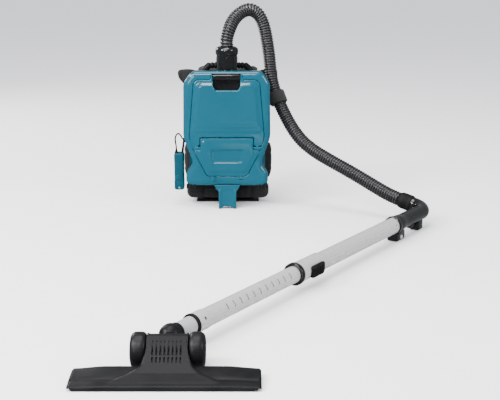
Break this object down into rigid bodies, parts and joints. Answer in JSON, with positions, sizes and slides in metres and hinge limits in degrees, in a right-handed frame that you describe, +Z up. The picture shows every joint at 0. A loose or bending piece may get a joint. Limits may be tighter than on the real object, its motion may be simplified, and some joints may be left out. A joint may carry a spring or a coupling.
{
  "type": "backpack vacuum cleaner",
  "caption": "Backpack vacuum cleaner standing on the floor: teal pack with harness and remote, ribbed hose, telescopic aluminium wand and wide floor head with rollers.",
  "frame": {"origin": "on the floor, under the middle of the pack's base foot", "axes": "+Z up, the pack's front faces -Y, +X to the right seen from the front; the wand lies level 34 degrees off the Y axis"},
  "size_m": [0.7211, 1.349, 0.527],
  "materials": {
    "shell": "gloss moulded plastic, teal",
    "remote": "gloss moulded plastic, dark teal",
    "black_gloss": "gloss black plastic",
    "black_satin": "satin black plastic",
    "hose_plastic": "flexible ribbed plastic",
    "rubber": "matt black rubber",
    "fabric": "black woven nylon over foam",
    "webbing": "black woven webbing",
    "tube": "brushed anodised aluminium",
    "neck": "fine-grained light grey plastic",
    "steel": "plated steel",
    "copper": "plated contact",
    "paper": "filter paper",
    "white": "pleated filter medium",
    "card": "pressed card",
    "board": "printed circuit board",
    "lamp": "clear lamp lens",
    "bristle": "fine bristle",
    "wheel": "smooth black tread"
  },
  "bodies": {
    "pack": {"main_housing": "shell", "front_frame": "shell", "dust_cover_pins": "steel", "battery_cover_pins": "steel", "battery_left": "black_satin", "battery_right": "black_satin", "battery_terminals": "copper", "motor_housing": "black_satin", "motor": "steel", "motor_screws": "steel", "pre_filter": "white", "dust_bag": "paper", "bag_collar": "card", "circuit_board": "board", "carry_handle": "black_satin", "bottom_hook": "shell", "harness_frame": "black_satin", "back_pad": "fabric", "lumbar_pad": "fabric", "shoulder_strap_left": "fabric", "shoulder_strap_right": "fabric", "strap_webbing": "webbing", "strap_adjusters": "black_satin", "waist_belt_left": "fabric", "waist_belt_right": "fabric", "belt_buckle": "black_satin", "hose_holder": "rubber", "control_box": "remote", "control_hanger": "black_satin", "control_led": "lamp", "control_cable": "rubber", "cable_reliefs": "rubber", "housing_screws": "steel", "hose": "hose_plastic", "hose_cuff": "black_gloss", "handle_pipe": "black_gloss", "grip_block": "black_gloss", "outer_tube": "tube", "tube_collar": "black_satin"},
    "dust_cover": {"dust_cover": "shell", "cover_gasket": "rubber"},
    "cover_latch": {"cover_latch": "black_gloss"},
    "battery_cover": {"battery_cover": "shell"},
    "fan": {"fan": "steel"},
    "hose_connector": {"hose_connector": "black_gloss"},
    "power_button": {"power_button": "remote"},
    "mode_button": {"mode_button": "remote"},
    "release_button": {"release_button": "neck"},
    "lock_slider": {"lock_slider": "black_satin"},
    "inner_wand": {"inner_tube": "tube", "seal_ring": "rubber", "neck_pipe": "neck", "elbow": "black_satin"},
    "swivel_barrel": {"swivel_barrel": "black_satin"},
    "floor_head": {"head_cover": "black_satin", "sole_plate": "steel", "brush_strips": "bristle", "wheel_axle": "steel"},
    "wheel_left": {"wheel_left": "wheel"},
    "wheel_right": {"wheel_right": "wheel"}
  },
  "joints": [
    {"name": "dust_cover_open", "type": "hinge", "parent": "pack", "child": "dust_cover", "pos_m": [0, -0.072, 0.163], "axis": [1, 0, 0], "range_deg": [0, 95]},
    {"name": "cover_latch_pull", "type": "hinge", "parent": "dust_cover", "child": "cover_latch", "pos_m": [0, -0.069, 0.349], "axis": [-1, 0, 0], "range_deg": [0, 20], "stiffness_Nm_per_rad": 0.3},
    {"name": "battery_cover_open", "type": "hinge", "parent": "pack", "child": "battery_cover", "pos_m": [0, -0.072, 0.082], "axis": [1, 0, 0], "range_deg": [0, 95]},
    {"name": "fan_spin", "type": "hinge", "parent": "pack", "child": "fan", "pos_m": [0, 0.015, 0.126], "axis": [0, 1, 0], "continuous": true},
    {"name": "hose_connector_swivel", "type": "hinge", "parent": "pack", "child": "hose_connector", "pos_m": [0, -0.015, 0.38], "axis": [0, 0, 1], "continuous": true},
    {"name": "power_button_press", "type": "slide", "parent": "pack", "child": "power_button", "axis": [0, 1, 0], "range_m": [0, 0.0015], "stiffness_N_per_m": 400},
    {"name": "mode_button_press", "type": "slide", "parent": "pack", "child": "mode_button", "axis": [0, 1, 0], "range_m": [0, 0.0015], "stiffness_N_per_m": 400},
    {"name": "release_button_press", "type": "slide", "parent": "pack", "child": "release_button", "axis": [-0.829, 0.5592, 0], "range_m": [0, 0.0015], "stiffness_N_per_m": 500},
    {"name": "lock_slider_pull", "type": "slide", "parent": "pack", "child": "lock_slider", "axis": [0.5592, 0.829, 0], "range_m": [0, 0.008], "stiffness_N_per_m": 300},
    {"name": "wand_telescope", "type": "slide", "parent": "pack", "child": "inner_wand", "axis": [0.5592, 0.829, 0], "range_m": [0, 0.28]},
    {"name": "head_swivel", "type": "hinge", "parent": "inner_wand", "child": "swivel_barrel", "pos_m": [-0.072, -1.069, 0.038], "axis": [0, 0.9846, 0.175], "range_deg": [-15, 105]},
    {"name": "head_tilt", "type": "hinge", "parent": "swivel_barrel", "child": "floor_head", "pos_m": [-0.072, -1.114, 0.03], "axis": [1, 0, 0], "range_deg": [-40, 8]},
    {"name": "wheel_left_roll", "type": "hinge", "parent": "floor_head", "child": "wheel_left", "pos_m": [-0.119, -1.114, 0.03], "axis": [1, 0, 0], "continuous": true},
    {"name": "wheel_right_roll", "type": "hinge", "parent": "floor_head", "child": "wheel_right", "pos_m": [-0.025, -1.114, 0.03], "axis": [1, 0, 0], "continuous": true}
  ]
}
